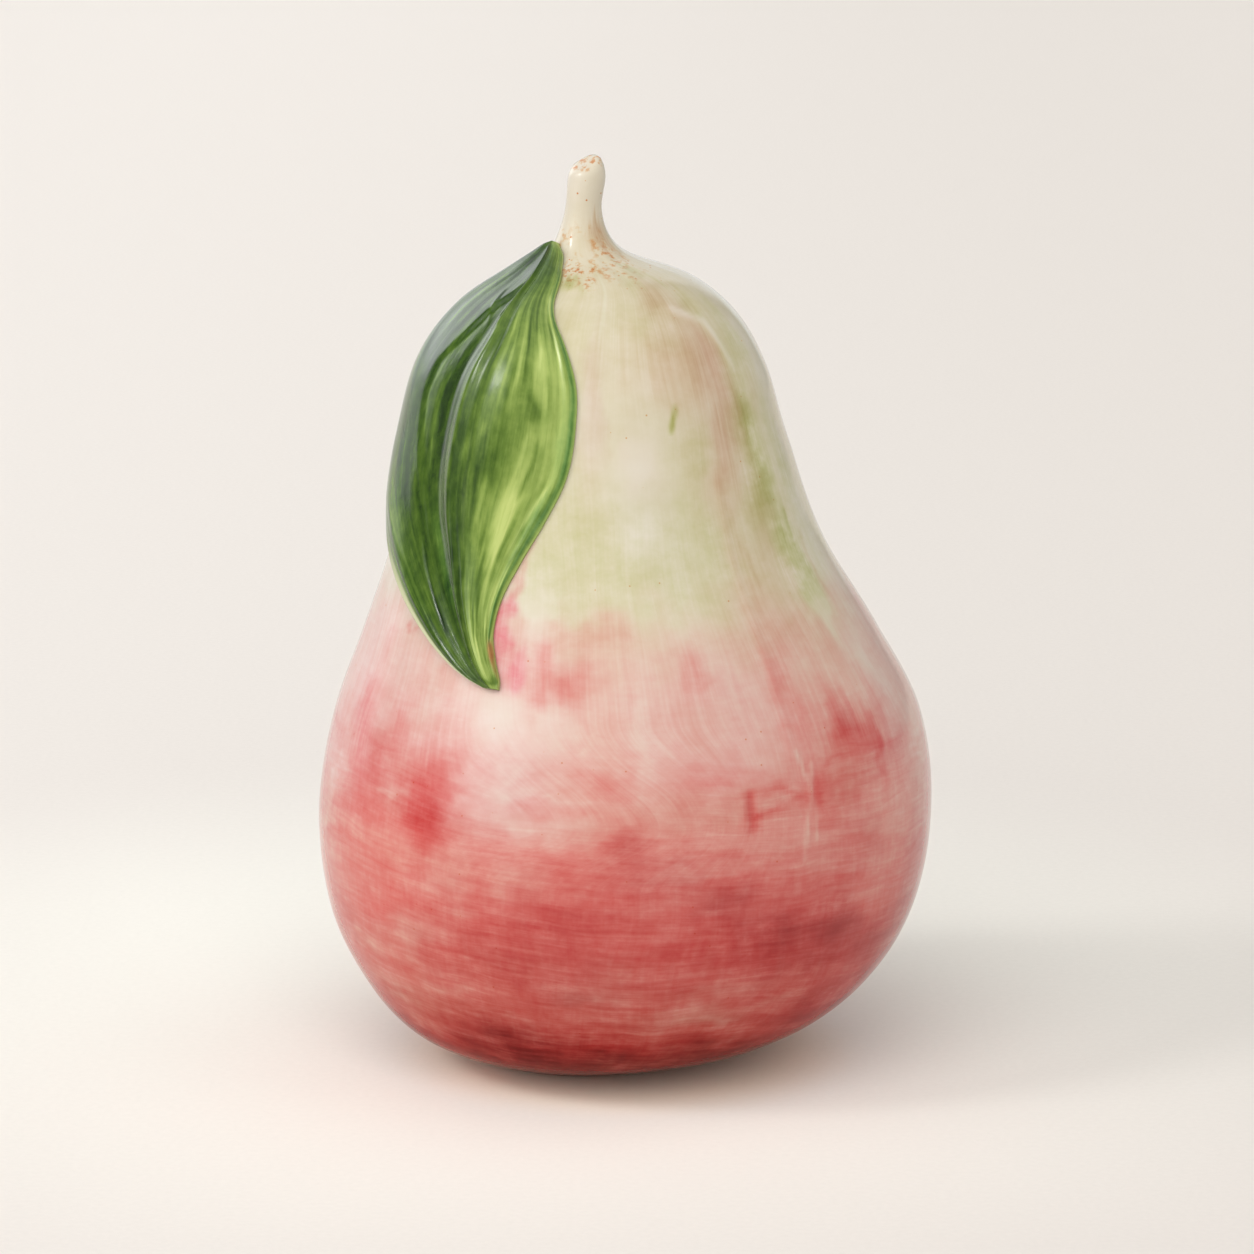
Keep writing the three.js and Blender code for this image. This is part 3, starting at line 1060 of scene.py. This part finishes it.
def scaled(tree, arrow, factor):
    """A vector times a number."""
    return node(tree, "VectorMath", {0: arrow, "Scale": factor}, operation="SCALE").outputs["Vector"]


def in_millimetres(tree):
    """Places on the object, in millimetres."""
    return vector_calc(tree, "MULTIPLY", node(tree, "TexCoord").outputs["Object"], (1000, 1000, 1000))


# %% [markdown]
# Paint that soaks up light
#
# Thin glaze colours work like coloured glass: each coat takes away a share of the light, and the next coat
# takes a share of what is left. So the colour of the clay is multiplied by e to the power of minus the
# density, for red, green and blue apart. Thick strokes come out deeper and purer, not just darker, as on
# the real pear.

# %% The glass-paint sum
def soaked(tree, clay, coats):
    """The clay's colour seen through coats, each a density and what it takes from each colour."""
    taken = None
    for density, appetite in coats:
        coat = scaled(tree, appetite, density)
        taken = coat if taken is None else vector_calc(tree, "ADD", taken, coat)
    parts = node(tree, "SeparateXYZ", {0: taken})
    left = [calc(tree, "EXPONENT", calc(tree, "MULTIPLY", parts.outputs[axis], -1.0)) for axis in range(3)]
    shares = node(tree, "CombineXYZ", dict(enumerate(left))).outputs[0]
    return vector_calc(tree, "MULTIPLY", shares, clay)


def streaked(tree, layer, *swings):
    """A layer's density broken up by swings: thicker where the noise is high, thinner where it is low."""
    factor = 1.0
    for swinging, amount in swings:
        factor = calc(tree, "MULTIPLY_ADD", swinging, amount, factor)
    return calc(tree, "MAXIMUM", calc(tree, "MULTIPLY", number(tree, layer), factor), 0.0)


def coated(material_name):
    """A new material with its tree and its shader."""
    material = bpy.data.materials.new(material_name)
    material.use_nodes = True
    return material, material.node_tree, material.node_tree.nodes["Principled BSDF"]


# %% [markdown]
# The body's finish
#
# Fine streaks run along the bristles, one pattern for the level strokes and one for the upright ones, and
# the paint map says which is used. The rose takes the streaks most. Pinholes and small iron specks are
# scattered over it, and the stem has many specks of orange iron. Over all lies a clear, smooth gloss, but
# the foot and the hollow are bare.

# %% What each paint takes from red, green and blue
CLAY = (0.61, 0.57, 0.52)
CREAM = (0.02, 0.03, 0.14)
ROSE = (0.10, 1.0, 0.96)
MAROON = (0.58, 0.85, 0.78)
GREEN = (0.45, 0.36, 1.0)
TAN = (0.32, 0.68, 0.95)
PINK = (0.0, 0.9, 0.62)
IRON = (0.25, 1.1, 1.9)
BARE_CLAY = (0.62, 0.56, 0.48)
BARE_ROUGHNESS = 0.75
GLAZE_IOR = 1.5

# %% Streaks and patches on the body
body_material, tree, shader = coated("painted_body")
place = in_millimetres(tree)
lay = number(tree, "level_lay")
down = vector(tree, "down_place")
level = vector(tree, "level_place")
wide = mixed(tree, lay, swing(tree, down, (0.5, 0.5, 0.045)), swing(tree, level, (0.05, 0.05, 0.5)))
fine = mixed(tree, lay, swing(tree, down, (1.5, 1.5, 0.09), 5), swing(tree, level, (0.1, 0.1, 1.4), 5))
cross = mixed(tree, lay, swing(tree, level, (0.12, 0.12, 1.2)), swing(tree, down, (1.1, 1.1, 0.12)))
patchy = swing(tree, place, (0.13, 0.13, 0.17), 4)
mottle = swing(tree, place, (0.5, 0.5, 0.7), 3)

# %% Coats of paint on the body
rose_swings = [(wide, 0.15), (fine, 0.19), (cross, 0.09), (patchy, 0.19), (mottle, 0.12)]
rose_coat = streaked(tree, "rose", *rose_swings)
maroon_swings = [(wide, 0.3), (fine, 0.16), (patchy, 0.35), (mottle, 0.15)]
maroon_coat = streaked(tree, "maroon", *maroon_swings)
green_coat = streaked(tree, "green", (wide, 0.2), (fine, 0.25), (patchy, 0.7), (mottle, 0.2))
# Tan paint, and painted shade at the foot
tan_and_shade_coat = streaked(tree, "tan", (wide, 0.3), (fine, 0.3), (patchy, 0.3))
pink_coat = streaked(tree, "pink", (fine, 0.3), (mottle, 0.3))
cloud = calc(tree, "MAXIMUM", calc(tree, "MULTIPLY_ADD", patchy, 0.05, 0.05), 0.0)

# %% Iron specks
on_stem = number(tree, "stem")
body_specks = calc(tree, "MULTIPLY", specks(tree, place, 2.6, 0.19, 0.3), 0.5)
stem_specks = calc(tree, "MULTIPLY", specks(tree, place, 1.3, 0.2, 0.4), on_stem)
blotches = ramp(tree, swing(tree, place, (0.9, 0.9, 0.8), 5), -0.1, 0.7)
rusty = calc(tree, "MULTIPLY", blotches, number(tree, "rust"))
iron = calc(tree, "ADD", calc(tree, "ADD", rusty, body_specks), stem_specks)

# %% Finish of the body
paint = soaked(
    tree,
    CLAY,
    [
        (rose_coat, ROSE),
        (maroon_coat, MAROON),
        (green_coat, GREEN),
        (tan_and_shade_coat, TAN),
        # Cream tint, and a painted reflection where it is left off
        (number(tree, "cream_and_painted_reflection"), CREAM),
        (pink_coat, PINK),
        (cloud, TAN),
        (iron, IRON),
    ],
)
bare = number(tree, "bare")
tree.links.new(blended(tree, bare, paint, (*BARE_CLAY, 1)), shader.inputs["Base Color"])

pinholes = specks(tree, place, 2.2, 0.13, 0.3)
skin_height = calc(tree, "MULTIPLY_ADD", fine, 0.12, calc(tree, "MULTIPLY", mottle, 0.5))
skin_height = calc(tree, "SUBTRACT", skin_height, pinholes)
bump = node(tree, "Bump", {"Height": skin_height, "Strength": 0.5, "Distance": 0.00003})
tree.links.new(bump.outputs["Normal"], shader.inputs["Normal"])
gloss = calc(tree, "MULTIPLY_ADD", mottle, 0.02, 0.11)
tree.links.new(mixed(tree, bare, gloss, BARE_ROUGHNESS), shader.inputs["Roughness"])
tree.links.new(number(tree, "shine"), shader.inputs["Specular IOR Level"])
shader.inputs["IOR"].default_value = GLAZE_IOR
body.data.materials.append(body_material)

# %% [markdown]
# The leaf's finish
#
# The same sum with other colours. The streaks run along the blade. Where the right half was wiped with a
# dry brush, the glaze is a little duller, so the lamp shows there as a soft sheen and not as a spot.

# %% Leaf material
LEAF_CLAY = (0.46, 0.52, 0.165)
OLIVE = (1.0, 0.76, 1.35)
TEAL = (1.4, 0.62, 0.35)
BROWN = (0.1, 0.85, 0.8)
EDGE_CLAY = (0.46, 0.47, 0.29)

leaf_material, tree, shader = coated("painted_leaf")
place = in_millimetres(tree)
blade_place = vector(tree, "blade_place")
wide = swing(tree, blade_place, (0.5, 0.09, 1.0))
fine = swing(tree, blade_place, (1.9, 0.2, 1.0), 5)
mottle = swing(tree, place, (0.5, 0.5, 0.4))

olive_coat = streaked(tree, "olive", (wide, 0.16), (fine, 0.18), (mottle, 0.2))
brushed = number(tree, "brushed")
bristles = calc(tree, "MULTIPLY", calc(tree, "MAXIMUM", fine, 0.0), brushed)
olive_coat = calc(tree, "MULTIPLY_ADD", bristles, 0.2, olive_coat)
teal_coat = streaked(tree, "teal", (wide, 0.3), (fine, 0.2), (mottle, 0.3))
brown_coat = streaked(tree, "brown", (mottle, 0.25))
leaf_specks = calc(tree, "MULTIPLY", specks(tree, place, 3.4, 0.14, 0.12), 0.5)
coats = [(olive_coat, OLIVE), (teal_coat, TEAL), (brown_coat, BROWN), (leaf_specks, OLIVE)]
leaf_paint = soaked(tree, LEAF_CLAY, coats)
leaf_colour = blended(tree, number(tree, "pale_edge"), leaf_paint, (*EDGE_CLAY, 1))
tree.links.new(leaf_colour, shader.inputs["Base Color"])
leaf_height = calc(tree, "MULTIPLY_ADD", fine, 0.3, calc(tree, "MULTIPLY", mottle, 0.4))
bump = node(tree, "Bump", {"Height": leaf_height, "Strength": 0.5, "Distance": 0.00004})
tree.links.new(bump.outputs["Normal"], shader.inputs["Normal"])
tree.links.new(ramp(tree, brushed, 0.0, 1.0, 0.12, 0.25), shader.inputs["Roughness"])
shader.inputs["IOR"].default_value = GLAZE_IOR
leaf.data.materials.append(leaf_material)

# %% [markdown]
# Tie the pieces to the frame
#
# Both pieces ride on the one rigid body. Each replaces its plain solid.

# %% Tie the pieces to the frame
for piece, solid, slot in ((body, "pear_body", "painted_body"), (leaf, "leaf", "painted_leaf")):
    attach(piece, "root")
    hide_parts(solid)

# %% [markdown]
# The paper under it
#
# A large sheet of warm white paper with a fine grain. Its colour is painted a little darker to the right,
# a painted falloff of the light from the left. A wide soft patch round the pear is painted lighter, painted
# light for what a studio throws back on the paper, and close to the foot it is painted warmer, painted
# bounce light from the red belly.

# %% Floor
FLOOR_SIZE = 8
# Painted light: the paper's colour on the lit left and on the shaded right
PAPER_LIT_LEFT = (0.81, 0.77, 0.73, 1)
PAPER_SHADED_RIGHT = (0.725, 0.685, 0.645, 1)
PAPER_TURN = 0.24
# Painted light: a soft patch round the pear where the paper's colour is painted lighter
PATCH_PLACE = (-0.015, 0.035, 0)
PATCH_MIDDLE = 0.05
PATCH_EDGE = 0.19
PAINTED_LIGHT_LIFT = (0.18, 0.23, 0.21)
# Painted bounce light: a warm tint painted on the paper close to the foot
CONTACT_EDGE = 0.042
CONTACT_MIDDLE = 0.025
PAINTED_BOUNCE_TINT = (1.12, 1.0, 0.88, 1)
WHITE = (1, 1, 1, 1)

half = FLOOR_SIZE / 2
mesh = bpy.data.meshes.new("floor")
mesh.from_pydata([(-half, -half, 0), (half, -half, 0), (half, half, 0), (-half, half, 0)], [], [(0, 1, 2, 3)])
floor = placed("floor", mesh)

# %% Colour of the paper
paper, tree, shader = coated("floor_paper")
spot = node(tree, "TexCoord").outputs["Object"]
across_paper = node(tree, "SeparateXYZ", {0: spot}).outputs["X"]
# Painted shade: the paper's colour darkens to the right
painted_falloff = ramp(tree, across_paper, -PAPER_TURN, PAPER_TURN)
distance = node(tree, "VectorMath", {0: spot}, operation="LENGTH").outputs["Value"]
from_patch = node(tree, "VectorMath", {0: spot, 1: PATCH_PLACE}, operation="DISTANCE").outputs["Value"]
# Painted light round the pear
near = ramp(tree, from_patch, PATCH_EDGE, PATCH_MIDDLE)
grain = node(tree, "TexNoise", {"Vector": spot, "Scale": 900.0, "Detail": 3})
sheet = blended(tree, painted_falloff, PAPER_LIT_LEFT, PAPER_SHADED_RIGHT)
shaded = calc(tree, "MULTIPLY_ADD", grain.outputs["Fac"], 0.07, 0.965)
lifted = vector_calc(tree, "ADD", scaled(tree, PAINTED_LIGHT_LIFT, near), WHITE[:3])
sheet = vector_calc(tree, "MULTIPLY", sheet, lifted)
# Painted bounce light close to the foot
painted_bounce = ramp(tree, distance, CONTACT_EDGE, CONTACT_MIDDLE)
tint = blended(tree, painted_bounce, WHITE, PAINTED_BOUNCE_TINT)
sheet = vector_calc(tree, "MULTIPLY", sheet, tint)
tree.links.new(vector_calc(tree, "MULTIPLY", sheet, shaded), shader.inputs["Base Color"])
shader.inputs["Roughness"].default_value = 0.9
shader.inputs["Specular IOR Level"].default_value = 0.2
mesh.materials.append(paper)

# %% [markdown]
# Soft studio light
#
# A soft key comes from the upper left and makes the shadow. Broad lights from the left, the front, the
# right and behind and a sky keep the shadow pale. The room below is what the glaze mirrors: a bright wall
# behind, a dimmer one behind on the right, a bright ceiling, a window behind on the left, the key's
# softbox, and a dim room around the camera. It is seen in reflections only, so the lamps alone set the
# shading.

# %% Lamps
LAMP_COLOUR = (1, 0.99, 0.975)


def direction(azimuth, elevation):
    """An arrow from the pear. The azimuth runs in degrees from the front towards the left."""
    a = math.radians(azimuth)
    e = math.radians(elevation)
    return Vector((-math.sin(a) * math.cos(e), -math.cos(a) * math.cos(e), math.sin(e)))


def lamp(name, azimuth, elevation, angle, strength, mirrored=False):
    data = bpy.data.lights.new(name, "SUN")
    data.energy = strength
    data.angle = math.radians(angle)
    data.color = LAMP_COLOUR
    holder = placed(name, data)
    holder.rotation_euler = direction(azimuth, elevation).to_track_quat("Z", "Y").to_euler()
    holder.visible_glossy = mirrored


lamp("key", 66, 40, 15, 0.58, mirrored=True)
lamp("left", 80, 9, 60, 1.55)
lamp("front", 12, 35, 60, 2.15)
lamp("low_right", -48, 18, 60, 0.42)
lamp("right", -88, 42, 60, 0.44)
lamp("back", 175, 58, 100, 0.2)
lamp("sky", 0, 90, 175, 0.9)

# %% The room that the glaze mirrors
FRONT_DIM = 0.2
BACK_BRIGHT = 1.0
ROOM_COLOUR = (0.96, 0.985, 1, 1)
WINDOW_STRENGTH = 2.0
SOFTBOX_STRENGTH = 1.5

world = bpy.data.worlds.new("studio")
bpy.context.scene.world = world
world.use_nodes = True
world.cycles_visibility.diffuse = False
tree = world.node_tree
background = tree.nodes["Background"]
sky = node(tree, "TexCoord").outputs["Generated"]
sky_place = node(tree, "SeparateXYZ", {0: sky})
height_squared = calc(tree, "MULTIPLY", sky_place.outputs["Z"], sky_place.outputs["Z"])
flatness = calc(tree, "SQRT", calc(tree, "SUBTRACT", 1.0001, height_squared))


def toward(azimuth):
    """How far a direction points to an azimuth, as the cosine of the angle between them on the level."""
    a = math.radians(azimuth)
    side = calc(tree, "MULTIPLY", sky_place.outputs["X"], -math.sin(a))
    dot = calc(tree, "MULTIPLY_ADD", sky_place.outputs["Y"], -math.cos(a), side)
    return calc(tree, "DIVIDE", dot, flatness)


def glow(azimuth, elevation, edge, core):
    """A round patch in the sky, full within core degrees of its middle and gone at edge degrees."""
    inputs = {0: sky, 1: direction(azimuth, elevation)}
    dot = node(tree, "VectorMath", inputs, operation="DOT_PRODUCT").outputs["Value"]
    return ramp(tree, dot, math.cos(math.radians(edge)), math.cos(math.radians(core)))


back_wall = ramp(tree, toward(160), 0.67, 0.8)
right_wall = calc(tree, "MULTIPLY", ramp(tree, toward(-128), 0.8, 0.97), 0.45)
ceiling = calc(tree, "MULTIPLY", ramp(tree, sky_place.outputs["Z"], 0.8, 0.92), 0.7)
walls = calc(tree, "MAXIMUM", back_wall, right_wall)
window = calc(tree, "MULTIPLY", glow(138, 24, 22, 9), WINDOW_STRENGTH)
patches = calc(tree, "MULTIPLY_ADD", glow(62, 36, 32, 10), SOFTBOX_STRENGTH, window)
bright = calc(tree, "ADD", calc(tree, "MAXIMUM", walls, ceiling), patches)
background.inputs["Color"].default_value = ROOM_COLOUR
strength = calc(tree, "MULTIPLY_ADD", bright, BACK_BRIGHT - FRONT_DIM, FRONT_DIM)
tree.links.new(strength, background.inputs["Strength"])

# %% [markdown]
# Camera
#
# A long lens nearly a metre away, a little above the pear, as in the studio.

# %% Camera
CAMERA_DISTANCE = 0.9
CAMERA_ELEVATION = 12
CAMERA_TARGET = Vector((0.0003, 0, 0.0717))
SENSOR_WIDTH = 36
LENS = 158.12

camera_data = bpy.data.cameras.new("camera")
camera_data.sensor_width = SENSOR_WIDTH
camera_data.lens = LENS
camera = placed("camera", camera_data)
camera.location = CAMERA_TARGET + CAMERA_DISTANCE * direction(0, CAMERA_ELEVATION)
camera.rotation_euler = direction(0, CAMERA_ELEVATION).to_track_quat("Z", "Y").to_euler()
bpy.context.scene.camera = camera
bpy.context.scene.view_settings.view_transform = "Standard"
